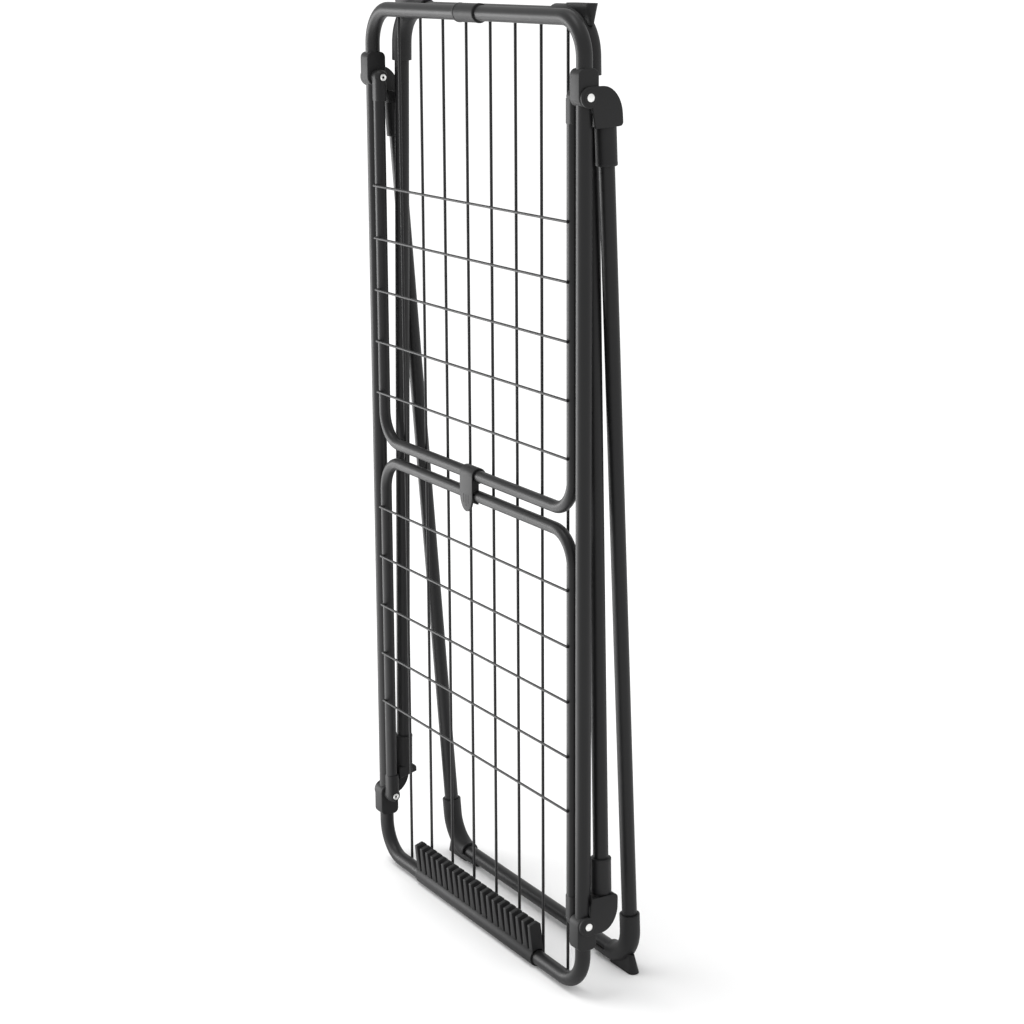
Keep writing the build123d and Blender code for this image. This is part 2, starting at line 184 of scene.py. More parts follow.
def skinned(name, dark, light, roughness, grain_scale, depth, specular, cloud_scale=9.0):
    """A black finish: two close tones, a roughness that wanders, and a fine bumpy grain."""
    paint = bpy.data.materials.new(name)
    paint.use_nodes = True
    nodes, links = paint.node_tree.nodes, paint.node_tree.links
    shader = nodes["Principled BSDF"]
    shader.inputs["Specular IOR Level"].default_value = specular
    place = nodes.new("ShaderNodeTexCoord")
    skin = nodes.new("ShaderNodeGroup")
    skin.node_tree = SKIN
    skin.inputs["Grain Scale"].default_value = grain_scale
    skin.inputs["Cloud Scale"].default_value = cloud_scale
    links.new(place.outputs["Object"], skin.inputs["Vector"])
    tone = nodes.new("ShaderNodeMix")
    tone.data_type = "RGBA"
    tone.inputs[6].default_value = (*dark, 1)
    tone.inputs[7].default_value = (*light, 1)
    links.new(skin.outputs["Cloud"], tone.inputs[0])
    links.new(tone.outputs[2], shader.inputs["Base Color"])
    gloss = nodes.new("ShaderNodeMapRange")
    gloss.inputs["To Min"].default_value = roughness[0]
    gloss.inputs["To Max"].default_value = roughness[1]
    links.new(skin.outputs["Cloud"], gloss.inputs["Value"])
    rubbed = nodes.new("ShaderNodeMath")
    rubbed.operation = "MULTIPLY_ADD"
    rubbed.inputs[1].default_value = -0.06
    links.new(skin.outputs["Rub"], rubbed.inputs[0])
    links.new(gloss.outputs["Result"], rubbed.inputs[2])
    links.new(rubbed.outputs["Value"], shader.inputs["Roughness"])
    bump = nodes.new("ShaderNodeBump")
    bump.inputs["Strength"].default_value = 0.35
    bump.inputs["Distance"].default_value = depth
    links.new(skin.outputs["Grain"], bump.inputs["Height"])
    links.new(bump.outputs["Normal"], shader.inputs["Normal"])
    return paint


tube_coat = skinned(
    "tube_coat", (0.006, 0.006, 0.0065), (0.01, 0.01, 0.0105), (0.4, 0.5), 620, 0.05 * MM, 0.28
)

frame_corners = [
    (SIDE_X, FRAME_Y, END_LOW),
    (SIDE_X, FRAME_Y, END_HIGH),
    (-SIDE_X, FRAME_Y, END_HIGH),
    (-SIDE_X, FRAME_Y, END_LOW),
]
loop = bent_tube(frame_corners, FRAME_BEND, TUBE_R, closed=True)
piece("frame_loop", loop, "main_frame", "tube_coating", tube_coat, "main_frame_tube")

# ------------------------------------------------------------------ long wires
# Eight steel wires run the height of the frame on its back. Each end is pressed flat on the
# tube and welded there, and the coating has run over a small nugget of weld.
wires_low, wires_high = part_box("long_wires")
LONG_WIRE_R = (wires_high.y - wires_low.y) / 2
LONG_WIRE_Y = (wires_high.y + wires_low.y) / 2
LONG_WIRE_COUNT = 8
WIRE_SIDES = 16
WIRE_EDGE = 0.4 * MM
NUGGET = Vector((3.4, 1.9, 3.6)) * MM

wire_coat = skinned(
    "wire_coat", (0.006, 0.006, 0.0065), (0.011, 0.011, 0.0115), (0.38, 0.5), 800, 0.04 * MM, 0.28
)


def straight_rod(shape, start, end, radius, sides=WIRE_SIDES, edge=WIRE_EDGE):
    """A closed round bar whose rims are softened by the coating."""
    here, there = Vector(start), Vector(end)
    ahead = (there - here).normalized()
    ring = first_ring(shape, here, ahead, radius - edge, sides)
    rims = [ring]
    ring = push_ring(shape, ring, ahead * edge)
    bmesh.ops.scale(
        shape, vec=Vector((1, 1, 1)) * radius / (radius - edge), verts=verts_of(ring),
        space=Matrix.Translation(-(here + ahead * edge)),
    )
    ring = push_ring(shape, ring, there - here - 2 * edge * ahead)
    ring = push_ring(shape, ring, ahead * edge)
    bmesh.ops.scale(
        shape, vec=Vector((1, 1, 1)) * (radius - edge) / radius, verts=verts_of(ring),
        space=Matrix.Translation(-there),
    )
    rims.append(ring)
    for rim in rims:
        bmesh.ops.edgeloop_fill(shape, edges=rim)


def weld_nugget(shape, place, size):
    """A small domed bead of weld."""
    bead = Matrix.Translation(place) @ Matrix.Diagonal((*size, 1))
    bmesh.ops.create_icosphere(shape, subdivisions=2, radius=1, matrix=bead)


long_rack = bmesh.new()
for i in range(LONG_WIRE_COUNT):
    share = i / (LONG_WIRE_COUNT - 1)
    x = (wires_low.x + LONG_WIRE_R) * (1 - share) + (wires_high.x - LONG_WIRE_R) * share
    foot, top = (x, LONG_WIRE_Y, wires_low.z), (x, LONG_WIRE_Y, wires_high.z)
    straight_rod(long_rack, foot, top, LONG_WIRE_R)
    for z in (END_LOW, END_HIGH):
        weld_nugget(long_rack, (x, FRAME_Y + TUBE_R, z), NUGGET)
piece("frame_wires", long_rack, "main_frame", "wire_coating", wire_coat, "long_wires")

# ------------------------------------------------------------------ joint sleeve
# A plain black moulded sleeve hides the butt joint of the loop. It has a softened, slightly
# raised lip at each end.
sleeve_low, sleeve_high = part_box("joint_sleeve")
SLEEVE_R = (sleeve_high.z - sleeve_low.z) / 2
SLEEVE_LIP = 0.9 * MM
SLEEVE_RING = 3.6 * MM
SLEEVE_STEP = 4.2 * MM
SLEEVE_SINK = 0.5 * MM

moulding = skinned(
    "black_moulding", (0.008, 0.008, 0.0085), (0.013, 0.013, 0.0135), (0.48, 0.58), 1500,
    0.06 * MM, 0.26,
)


def turned(shape, axis_start, ahead, stations, sides=TUBE_SIDES):
    """A closed round body: each station is how far along the axis it is and its radius."""
    ahead = Vector(ahead).normalized()
    here = Vector(axis_start) + ahead * stations[0][0]
    ring = first_ring(shape, here, ahead, stations[0][1], sides)
    bmesh.ops.edgeloop_fill(shape, edges=ring)
    for (reach, radius), (next_reach, next_radius) in zip(stations, stations[1:]):
        ring = push_ring(shape, ring, ahead * (next_reach - reach))
        centre = Vector(axis_start) + ahead * next_reach
        growth = Vector((1, 1, 1)) * next_radius / radius
        bmesh.ops.scale(shape, vec=growth, verts=verts_of(ring), space=Matrix.Translation(-centre))
    bmesh.ops.edgeloop_fill(shape, edges=ring)


sleeve_length = sleeve_high.x - sleeve_low.x
sleeve = bmesh.new()
turned(sleeve, (sleeve_low.x, FRAME_Y, END_HIGH), (1, 0, 0), [
    (0, SLEEVE_R - SLEEVE_LIP),
    (0.3 * SLEEVE_LIP, SLEEVE_R - 0.3 * SLEEVE_LIP),
    (SLEEVE_LIP, SLEEVE_R),
    (SLEEVE_RING, SLEEVE_R),
    (SLEEVE_STEP, SLEEVE_R - SLEEVE_SINK),
    (sleeve_length - SLEEVE_STEP, SLEEVE_R - SLEEVE_SINK),
    (sleeve_length - SLEEVE_RING, SLEEVE_R),
    (sleeve_length - SLEEVE_LIP, SLEEVE_R),
    (sleeve_length - 0.3 * SLEEVE_LIP, SLEEVE_R - 0.3 * SLEEVE_LIP),
    (sleeve_length, SLEEVE_R - SLEEVE_LIP),
])
piece("tube_sleeve", sleeve, "main_frame", "moulding", moulding, "joint_sleeve")

# ------------------------------------------------------------------ hanger comb
# One black moulding snapped over the bottom run: a channel round the tube, open at the back
# where the wires are welded, and a row of teeth that lean forward, thick at the root and thin
# at the tip. Hooks of clothes hangers drop into the V slots between them.
rail_low, rail_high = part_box("comb_rail")
TOOTH_COUNT = 21
TOOTH_ROOT = 13.2 * MM
TOOTH_TIP = 6.4 * MM
TOOTH_FOOT = END_LOW + 6 * MM
TOOTH_FRONT_TOP = END_LOW + 48.5 * MM
TOOTH_BACK_TOP = END_LOW + 46.8 * MM
TOOTH_PEAK = END_LOW + 51.2 * MM
TOOTH_PEAK_Y = FRAME_Y + 4.6 * MM
TOOTH_FRONT_Y = FRAME_Y - 7.6 * MM
TOOTH_BACK_Y = FRAME_Y + 9.3 * MM
TOOTH_EDGE = 1.1 * MM
COMB_TILT = radians(6.5)
RAIL_OPENING = radians(96)
RAIL_STEPS = 36
RAIL_EDGE = 0.5 * MM


def soften(shape, edges, radius, segments=3):
    """Rounds edges as the corners of a mould are rounded."""
    bmesh.ops.bevel(
        shape, geom=edges, offset=radius, offset_type="OFFSET", segments=segments, profile=0.5,
        affect="EDGES", clamp_overlap=True, material=-1,
    )


def pull(shape, faces, travel):
    """Draws faces out along a vector into a closed solid and gives back its far faces."""
    grown = bmesh.ops.extrude_face_region(shape, geom=faces, use_keep_orig=True)["geom"]
    new_verts = [g for g in grown if isinstance(g, bmesh.types.BMVert)]
    bmesh.ops.translate(shape, verts=new_verts, vec=travel)
    return [g for g in grown if isinstance(g, bmesh.types.BMFace)]


def rim_of(faces):
    """The border edges of some faces, without those between two of them."""
    inside = set(faces)
    return list({e for f in faces for e in f.edges if sum(g in inside for g in e.link_faces) == 1})


def band(shape, centre, inner, outer, start, sweep, width, steps):
    """A curved wall about an X axis: a radial edge spun round it, then drawn out along X."""
    across = Vector((0, cos(start), sin(start)))
    spoke = [shape.verts.new(centre + r * across) for r in (inner, outer)]
    edge = shape.edges.new(spoke)
    before = set(shape.faces)
    bmesh.ops.spin(
        shape, geom=[*spoke, edge], cent=centre, axis=(1, 0, 0), dvec=(0, 0, 0), angle=sweep,
        steps=steps, use_merge=abs(sweep - 2 * pi) < WELD_GAP, use_normal_flip=False,
        use_duplicate=False,
    )
    near = [f for f in shape.faces if f not in before]
    far = pull(shape, near, Vector((width, 0, 0)))
    return near, far


comb = bmesh.new()
rail_centre = Vector((rail_low.x, FRAME_Y, END_LOW))
rail_outer = END_LOW - rail_low.z
near, far = band(
    comb, rail_centre, TUBE_R, rail_outer, RAIL_OPENING / 2, 2 * pi - RAIL_OPENING,
    rail_high.x - rail_low.x, RAIL_STEPS,
)
soften(comb, rim_of(near) + rim_of(far), RAIL_EDGE, 2)
for i in range(TOOTH_COUNT):
    share = i / (TOOTH_COUNT - 1)
    tooth_x = (rail_low.x + TOOTH_TIP / 2) * (1 - share) + (rail_high.x - TOOTH_TIP / 2) * share
    tooth = bmesh.new()
    outline = [
        (TOOTH_FRONT_Y, TOOTH_FOOT),
        (TOOTH_FRONT_Y, TOOTH_FRONT_TOP),
        (TOOTH_PEAK_Y, TOOTH_PEAK),
        (TOOTH_BACK_Y, TOOTH_BACK_TOP),
        (TOOTH_BACK_Y, TOOTH_FOOT),
    ]
    face = tooth.faces.new([tooth.verts.new((-1, y, z)) for y, z in outline])
    pull(tooth, [face], Vector((2, 0, 0)))
    for v in tooth.verts:
        rise = (v.co.z - TOOTH_FOOT) / (TOOTH_PEAK - TOOTH_FOOT)
        half = TOOTH_ROOT / 2 * (1 - rise) + TOOTH_TIP / 2 * rise
        v.co.x = tooth_x + v.co.x * half
    bmesh.ops.recalc_face_normals(tooth, faces=tooth.faces)
    soften(tooth, list(tooth.edges), TOOTH_EDGE, 3)
    for v in tooth.verts:
        v.co.x = min(max(v.co.x, rail_low.x), rail_high.x)
    one_tooth = bpy.data.meshes.new("one_tooth")
    tooth.to_mesh(one_tooth)
    tooth.free()
    comb.from_mesh(one_tooth)
    bpy.data.meshes.remove(one_tooth)
bmesh.ops.rotate(
    comb, verts=comb.verts, cent=(0, FRAME_Y, END_LOW), matrix=Matrix.Rotation(COMB_TILT, 3, "X")
)
piece("hanger_comb", comb, "main_frame", "moulding", moulding, "comb_rail", "comb_teeth")

# ------------------------------------------------------------------ hinge blocks
# Four black mouldings clamp the sides of the loop near its corners. Each is a rounded brick
# with the tube through it, and the rivet that a leg and a wing turn on goes through its middle.
block_low, block_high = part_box("hinge_block_upper_right")
rivet_low, rivet_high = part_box("hinge_rivet_upper_right")
HINGE_HIGH = (rivet_low.z + rivet_high.z) / 2
MIDDLE = (END_LOW + END_HIGH) / 2
HINGE_LOW = 2 * MIDDLE - HINGE_HIGH
BLOCK_OUTER_CORNER = 8 * MM
BLOCK_INNER_CORNER = 11 * MM
BLOCK_EDGE = 1.5 * MM
SIDES = {"right": False, "left": True}


def brick(low, high):
    """A plain blank between two corners, before its edges are rounded."""
    shape = bmesh.new()
    place = Matrix.Translation((low + high) / 2) @ Matrix.Diagonal((*(high - low), 1))
    bmesh.ops.create_cube(shape, size=1, matrix=place)
    return shape


def edges_along(shape, axis, test):
    """Edges that run along one axis, picked by where their middle is."""
    others = [i for i in range(3) if i != axis]
    picked = []
    for e in shape.edges:
        a, b = (v.co for v in e.verts)
        if all(abs(a[i] - b[i]) < WELD_GAP for i in others) and test((a + b) / 2):
            picked.append(e)
    return picked


def faces_at(shape, axis, place):
    return [f for f in shape.faces if all(abs(v.co[axis] - place) < WELD_GAP for v in f.verts)]


def flipped(shape, left, lower):
    """Turns a right-hand or upper shape into its left-hand or lower twin."""
    if left:
        bmesh.ops.scale(shape, vec=(-1, 1, 1), verts=shape.verts)
    if lower:
        about_middle = Matrix.Translation((0, 0, -MIDDLE))
        bmesh.ops.scale(shape, vec=(1, 1, -1), verts=shape.verts, space=about_middle)
    if left != lower:
        bmesh.ops.reverse_faces(shape, faces=shape.faces)
    return shape


def hinge_block():
    shape = brick(block_low, block_high)
    outer = edges_along(shape, 0, lambda m: m.z > HINGE_HIGH)
    soften(shape, outer, BLOCK_OUTER_CORNER, 8)
    inner = edges_along(shape, 0, lambda m: m.z < HINGE_HIGH - BLOCK_EDGE)
    soften(shape, inner, BLOCK_INNER_CORNER, 8)
    for x in (block_low.x, block_high.x):
        soften(shape, rim_of(faces_at(shape, 0, x)), BLOCK_EDGE, 3)
    return shape


for height, lower in (("upper", False), ("lower", True)):
    for side, left in SIDES.items():
        place = f"{height}_{side}"
        block = flipped(hinge_block(), left, lower)
        piece(f"block_{place}", block, "main_frame", "moulding", moulding, f"hinge_block_{place}")

# ------------------------------------------------------------------ hinge rivets
# Four bright zinc-plated rivets are the pivots. A shallow dome shows on the outside, and on
# the inside the hollow tail is rolled over into a ring. Their faces carry fine turning marks.
RIVET_R = 2.5 * MM
DOME_R = 5 * MM
DOME_H = rivet_high.x - block_high.x - 3.8 * MM
ROLL_R = 4.6 * MM
ROLL_H = 1.4 * MM
HOLLOW_R = 1.7 * MM
HOLLOW_DEPTH = 5 * MM
HOLLOW_TIP_R = 0.3 * MM
HOLLOW_FLARE = 0.6 * MM
ROLL_ROUND = 0.7 * MM
DOME_RIM = 0.4 * MM
DOME_TOP_R = 0.2 * MM
TURN_STEPS = 8


def turned_metal(name, colour, roughness, ring_pitch, depth):
    """Bright metal with fine rings about the X axis and a patchy bloom in its plating."""
    paint = bpy.data.materials.new(name)
    paint.use_nodes = True
    nodes, links = paint.node_tree.nodes, paint.node_tree.links
    shader = nodes["Principled BSDF"]
    shader.inputs["Metallic"].default_value = 1.0
    place = nodes.new("ShaderNodeTexCoord")
    skin = nodes.new("ShaderNodeGroup")
    skin.node_tree = SKIN
    skin.inputs["Grain Scale"].default_value = 1400
    skin.inputs["Cloud Scale"].default_value = 260
    links.new(place.outputs["Object"], skin.inputs["Vector"])
    tone = nodes.new("ShaderNodeMix")
    tone.data_type = "RGBA"
    tone.inputs[6].default_value = (*[c * 0.86 for c in colour], 1)
    tone.inputs[7].default_value = (*colour, 1)
    links.new(skin.outputs["Cloud"], tone.inputs[0])
    links.new(tone.outputs[2], shader.inputs["Base Color"])
    gloss = nodes.new("ShaderNodeMapRange")
    gloss.inputs["To Min"].default_value = roughness[0]
    gloss.inputs["To Max"].default_value = roughness[1]
    links.new(skin.outputs["Cloud"], gloss.inputs["Value"])
    links.new(gloss.outputs["Result"], shader.inputs["Roughness"])
    rings = nodes.new("ShaderNodeTexWave")
    rings.wave_type = "RINGS"
    rings.rings_direction = "X"
    rings.inputs["Scale"].default_value = ring_pitch
    rings.inputs["Distortion"].default_value = 1.5
    links.new(place.outputs["Object"], rings.inputs["Vector"])
    bump = nodes.new("ShaderNodeBump")
    bump.inputs["Strength"].default_value = 0.3
    bump.inputs["Distance"].default_value = depth
    links.new(rings.outputs["Fac"], bump.inputs["Height"])
    links.new(bump.outputs["Normal"], shader.inputs["Normal"])
    return paint


rivet_metal = turned_metal("rivet_metal", (0.93, 0.93, 0.92), (0.3, 0.42), 900, 0.02 * MM)
insert_metal = turned_metal("insert_metal", (0.5, 0.5, 0.51), (0.35, 0.5), 500, 0.02 * MM)
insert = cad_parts["joint_insert"]
insert.data.materials.clear()
insert.data.materials.append(insert_metal)


def hinge_rivet():
    tail, head = rivet_low.x, rivet_high.x
    dome_foot = head - DOME_H
    quarter = [pi / 2 * i / TURN_STEPS for i in range(TURN_STEPS + 1)]
    half = [pi * i / TURN_STEPS for i in range(TURN_STEPS + 1)]
    dome = [(dome_foot + DOME_H * sin(a), DOME_R * cos(a) + DOME_TOP_R) for a in quarter]
    roll = [
        (tail + ROLL_H / 2 - ROLL_H / 2 * cos(a), ROLL_R - ROLL_ROUND + ROLL_ROUND * sin(a))
        for a in half
    ]
    hollow = [
        (tail + HOLLOW_DEPTH, HOLLOW_TIP_R),
        (tail + HOLLOW_DEPTH, HOLLOW_R),
        (tail + HOLLOW_FLARE, HOLLOW_R),
        (tail, HOLLOW_R + ROLL_ROUND),
    ]
    shank = [(tail + ROLL_H, RIVET_R), (dome_foot - DOME_RIM, RIVET_R)]
    stations = hollow + roll + shank + [(dome_foot - DOME_RIM, DOME_R)] + dome
    shape = bmesh.new()
    turned(shape, (0, FRAME_Y, HINGE_HIGH), (1, 0, 0), stations, 32)
    return shape


for height, lower in (("upper", False), ("lower", True)):
    for side, left in SIDES.items():
        place = f"{height}_{side}"
        rivet = flipped(hinge_rivet(), left, lower)
        stands_for = f"hinge_rivet_{place}"
        piece(f"rivet_{place}", rivet, "main_frame", "rivet_steel", rivet_metal, stands_for)

# ------------------------------------------------------------------ legs
# Two steel tubes, each bent into a U and coated like the loop. The outer leg hangs from the
# upper rivets and stands a few degrees off; the inner one points up from the lower rivets.
LEG_OFFSET = 28.3 * MM
LEG_LENGTH = 1139 * MM
LEG_BEND = 48 * MM
LEG_TOP_X = 275 * MM
LEG_FOOT_X = 241 * MM
LEG_TUBE_START = 24 * MM
OUTER_LEG_ANGLE = radians(3.43)
LEG_SLOPE = (LEG_FOOT_X - LEG_TOP_X) / LEG_LENGTH

upper_pivot = Matrix.Translation((0, FRAME_Y, HINGE_HIGH))
lower_pivot = Matrix.Translation((0, FRAME_Y, HINGE_LOW))
leg_places = {
    "outer_leg": upper_pivot @ Matrix.Rotation(OUTER_LEG_ANGLE, 4, "X"),
    "inner_leg": lower_pivot @ Matrix.Diagonal((1, 1, -1, 1)),
}


def leg_x(drop):
    """How far from the middle a leg's centre line is, this far from its pivot."""
    return LEG_TOP_X + LEG_SLOPE * drop


def placed(shape, leg, left=False):
    """Moves a shape drawn about the leg's pivot, hanging down, to where that leg is."""
    where = leg_places[leg]
    if left:
        where = where @ Matrix.Diagonal((-1, 1, 1, 1))
    bmesh.ops.transform(shape, matrix=where, verts=shape.verts)
    if where.determinant() < 0:
        bmesh.ops.reverse_faces(shape, faces=shape.faces)
    return shape


for leg in leg_places:
    corners = [
        (leg_x(LEG_TUBE_START), LEG_OFFSET, -LEG_TUBE_START),
        (LEG_FOOT_X, LEG_OFFSET, -LEG_LENGTH),
        (-LEG_FOOT_X, LEG_OFFSET, -LEG_LENGTH),
        (-leg_x(LEG_TUBE_START), LEG_OFFSET, -LEG_TUBE_START),
    ]
    u_tube = placed(bent_tube(corners, LEG_BEND, TUBE_R), leg)
    piece(f"{leg}_u", u_tube, leg, "tube_coating", tube_coat, f"{leg}_tube")

# ------------------------------------------------------------------ leg elbows
# A black moulding on the end of each leg tube: a flat ear turns on the rivet outside the
# block, its swept heel comes to rest on the block when the leg is open, and a round sleeve
# with a soft lip grips the tube.
EAR_R = 13 * MM
EAR_IN = block_high.x + 0.3 * MM
EAR_OUT = EAR_IN + 3.5 * MM
HEEL_TOP = 12.2 * MM
HEEL_DEPTH = 44 * MM
HEEL_FOOT = -37 * MM
HEEL_ARC = Vector((18, -22)) * MM
EAR_FRONT = 5.5 * MM
CHIN_BACK = 3 * MM
CHIN_RISE = 1 * MM
HEEL_CORNER = 5 * MM
HEEL_INSET = 0.2 * MM
EAR_EDGE = 1.1 * MM
BODY_EDGE = 2 * MM
BODY_SINK = 1.5 * MM
BODY_OVERLAP = 1 * MM
ELBOW_SLEEVE_R = 13.5 * MM
ELBOW_SLEEVE_FROM = 30 * MM
ELBOW_SLEEVE_TO = 84 * MM
SLEEVE_TOP_SINK = 0.8 * MM
SLEEVE_BODY_SINK = 0.2 * MM
COLLAR_H = 4 * MM
COLLAR_STEP = 0.5 * MM
COLLAR_ROUND = 1.2 * MM
COLLAR_BEND = 0.4 * MM
COLLAR_END_SINK = 1.3 * MM
STOP_DROP = 15 * MM
STOP_LEAN = tan(radians(15))
WASHER_R = 9.5 * MM
WASHER_H = 0.4 * MM
WASHER_SEAT = 0.5 * MM
WASHER_WALL = 0.3 * MM
WASHER_BEND = 0.15 * MM
WASHER_ROUND = 0.5 * MM
ARC_STEPS = 12


def heel_back():
    """The heel's back edge, from its foot corner up round the sweep to its flat top."""
    sweep = [
        (
            HEEL_ARC.x + (HEEL_DEPTH - HEEL_ARC.x) * cos(pi / 2 * i / ARC_STEPS),
            HEEL_ARC.y + (HEEL_TOP - HEEL_ARC.y) * sin(pi / 2 * i / ARC_STEPS),
        )
        for i in range(ARC_STEPS + 1)
    ]
    return [(HEEL_DEPTH, HEEL_FOOT), *sweep]


def plate(outline, x_from, x_to):
    """A side view outline, with Y across and Z up, drawn out from one X to another."""
    shape = bmesh.new()
    face = shape.faces.new([shape.verts.new((x_from, y, z)) for y, z in outline])
    pull(shape, [face], Vector((x_to - x_from, 0, 0)))
    bmesh.ops.recalc_face_normals(shape, faces=shape.faces)
    return shape


def join(whole, *others):
    """Adds finished shapes to one moulding."""
    for other in others:
        carried = bpy.data.meshes.new("carried")
        other.to_mesh(carried)
        other.free()
        whole.from_mesh(carried)
        bpy.data.meshes.remove(carried)
    return whole


def leg_elbow():
    ear_turn = [pi / 2 + pi * i / ARC_STEPS for i in range(ARC_STEPS + 1)]
    nose = [(EAR_R * cos(a), EAR_R * sin(a)) for a in ear_turn]
    chin = (EAR_FRONT - CHIN_BACK, -EAR_R + CHIN_RISE)
    ear = plate([*heel_back(), *nose, chin, (EAR_FRONT, HEEL_FOOT)], EAR_IN, EAR_OUT)
    back = HEEL_DEPTH - HEEL_INSET

    def foot_corner(shape):
        """The bottom back edge, along X."""
        return edges_along(shape, 0, lambda m: m.z < HEEL_FOOT + WELD_GAP and m.y > back - WELD_GAP)

    soften(ear, foot_corner(ear), HEEL_CORNER, 5)
    soften(ear, rim_of(faces_at(ear, 0, EAR_OUT)), EAR_EDGE, 3)

    inner_x = LEG_TOP_X - BODY_OVERLAP - ELBOW_SLEEVE_R
    front = LEG_OFFSET - ELBOW_SLEEVE_R
    stop = [(y, -STOP_DROP - STOP_LEAN * y) for y in (back, front)]
    outline = [(front, HEEL_FOOT), (back, HEEL_FOOT), *stop]
    body = plate(outline, inner_x, EAR_OUT - BODY_SINK)
    soften(body, foot_corner(body), HEEL_CORNER, 5)
    soften(body, rim_of(faces_at(body, 0, inner_x)), BODY_EDGE, 3)

    sleeve = bmesh.new()
    top = Vector((leg_x(ELBOW_SLEEVE_FROM), LEG_OFFSET, -ELBOW_SLEEVE_FROM))
    ahead = Vector((LEG_SLOPE, 0, -1))
    length = (ELBOW_SLEEVE_TO - ELBOW_SLEEVE_FROM) * ahead.length
    turned(sleeve, top, ahead, [
        (0, ELBOW_SLEEVE_R - SLEEVE_TOP_SINK),
        (SLEEVE_TOP_SINK, ELBOW_SLEEVE_R - SLEEVE_BODY_SINK),
        (length - COLLAR_H - COLLAR_STEP, ELBOW_SLEEVE_R - SLEEVE_BODY_SINK),
        (length - COLLAR_H, ELBOW_SLEEVE_R),
        (length - COLLAR_ROUND, ELBOW_SLEEVE_R),
        (length - COLLAR_BEND, ELBOW_SLEEVE_R - COLLAR_BEND),
        (length, ELBOW_SLEEVE_R - COLLAR_END_SINK),
    ])
    washer = bmesh.new()
    turned(washer, (EAR_OUT - WASHER_SEAT, 0, 0), (1, 0, 0), [
        (0, WASHER_R),
        (WASHER_SEAT, WASHER_R),
        (WASHER_SEAT + WASHER_WALL, WASHER_R - WASHER_BEND),
        (WASHER_SEAT + WASHER_H, WASHER_R - WASHER_ROUND),
    ])
    return join(ear, body, sleeve, washer)


for leg in leg_places:
    for side, left in SIDES.items():
        elbow = placed(leg_elbow(), leg, left)
        piece(f"{leg}_hinge_{side}", elbow, leg, "moulding", moulding, f"{leg}_elbow_{side}")

# ------------------------------------------------------------------ leg boots
# A black moulding pushed on each corner of a leg: a shell round the bend that opens into a
# channel along the foot run, with a flat-soled toe under its corner that the rack stands on.
BOOT_R = 13.5 * MM
BOOT_RISE = 70 * MM
BOOT_RUN = 75 * MM
BOOT_WALL = 3.2 * MM
TOE_HALF_WIDTH = 8 * MM
TOE_BACK = 46 * MM
TOE_OUT = 12 * MM
TOE_HEIGHT = 26 * MM
TOE_DRAFT = tan(radians(10))
SOLE_REACH = HINGE_HIGH + (LEG_OFFSET - TOE_HALF_WIDTH) * sin(OUTER_LEG_ANGLE)
SOLE_DROP = SOLE_REACH / cos(OUTER_LEG_ANGLE) - LEG_LENGTH
BOOT_EDGE = 0.9 * MM
TOE_EDGE = 0.8 * MM
CHANNEL_START = 2 * MM


def leg_boot():
    corners = [
        (leg_x(LEG_LENGTH - BOOT_RISE), LEG_OFFSET, -LEG_LENGTH + BOOT_RISE),
        (LEG_FOOT_X, LEG_OFFSET, -LEG_LENGTH),
        (LEG_FOOT_X - BOOT_RUN, LEG_OFFSET, -LEG_LENGTH),
    ]
    shell = bent_tube(corners, LEG_BEND, BOOT_R, capped=False)
    run_end = LEG_FOOT_X - LEG_BEND + CHANNEL_START
    bmesh.ops.bisect_plane(
        shell, geom=[*shell.verts, *shell.edges, *shell.faces], dist=WELD_GAP,
        plane_co=(run_end, 0, 0), plane_no=(1, 0, 0),
    )
    open_top = [
        f for f in shell.faces
        if f.calc_center_median().x < run_end and f.calc_center_median().z > -LEG_LENGTH
    ]
    bmesh.ops.delete(shell, geom=open_top, context="FACES")
    bmesh.ops.recalc_face_normals(shell, faces=shell.faces)
    outwards = max(shell.faces, key=lambda f: f.calc_center_median().y)
    if outwards.normal.y < 0:
        bmesh.ops.reverse_faces(shell, faces=shell.faces)
    outside = list(shell.faces)
    bmesh.ops.solidify(shell, geom=outside, thickness=BOOT_WALL)
    rims = [
        e for e in shell.edges
        if e.is_manifold and e.calc_face_angle(0) > radians(60)
    ]
    soften(shell, rims, BOOT_EDGE, 3)

    toe = bmesh.new()
    sole = -LEG_LENGTH - SOLE_DROP
    round_x = (LEG_FOOT_X + TOE_OUT - TOE_HALF_WIDTH, LEG_FOOT_X - TOE_BACK + TOE_HALF_WIDTH)
    outline = []
    for x, start in zip(round_x, (-pi / 2, pi / 2)):
        for i in range(ARC_STEPS + 1):
            turn = start + pi * i / ARC_STEPS
            y = LEG_OFFSET + TOE_HALF_WIDTH * sin(turn)
            outline.append((x + TOE_HALF_WIDTH * cos(turn), y))
    face = toe.faces.new([toe.verts.new((x, y, sole)) for x, y in outline])
    pull(toe, [face], Vector((0, 0, TOE_HEIGHT)))
    middle_x = sum(round_x) / 2
    half_long = (TOE_BACK + TOE_OUT) / 2
    for v in toe.verts:
        if v.co.z > sole + WELD_GAP:
            shrink = TOE_DRAFT * TOE_HEIGHT
            v.co.x = middle_x + (v.co.x - middle_x) * (1 - shrink / half_long)
            v.co.y = LEG_OFFSET + (v.co.y - LEG_OFFSET) * (1 - shrink / TOE_HALF_WIDTH)
    bmesh.ops.recalc_face_normals(toe, faces=toe.faces)
    soften(toe, rim_of(faces_at(toe, 2, sole)), TOE_EDGE, 3)
    return join(shell, toe)


for leg in leg_places:
    for side, left in SIDES.items():
        boot = placed(leg_boot(), leg, left)
        piece(f"{leg}_foot_{side}", boot, leg, "moulding", moulding, f"{leg}_boot_{side}")

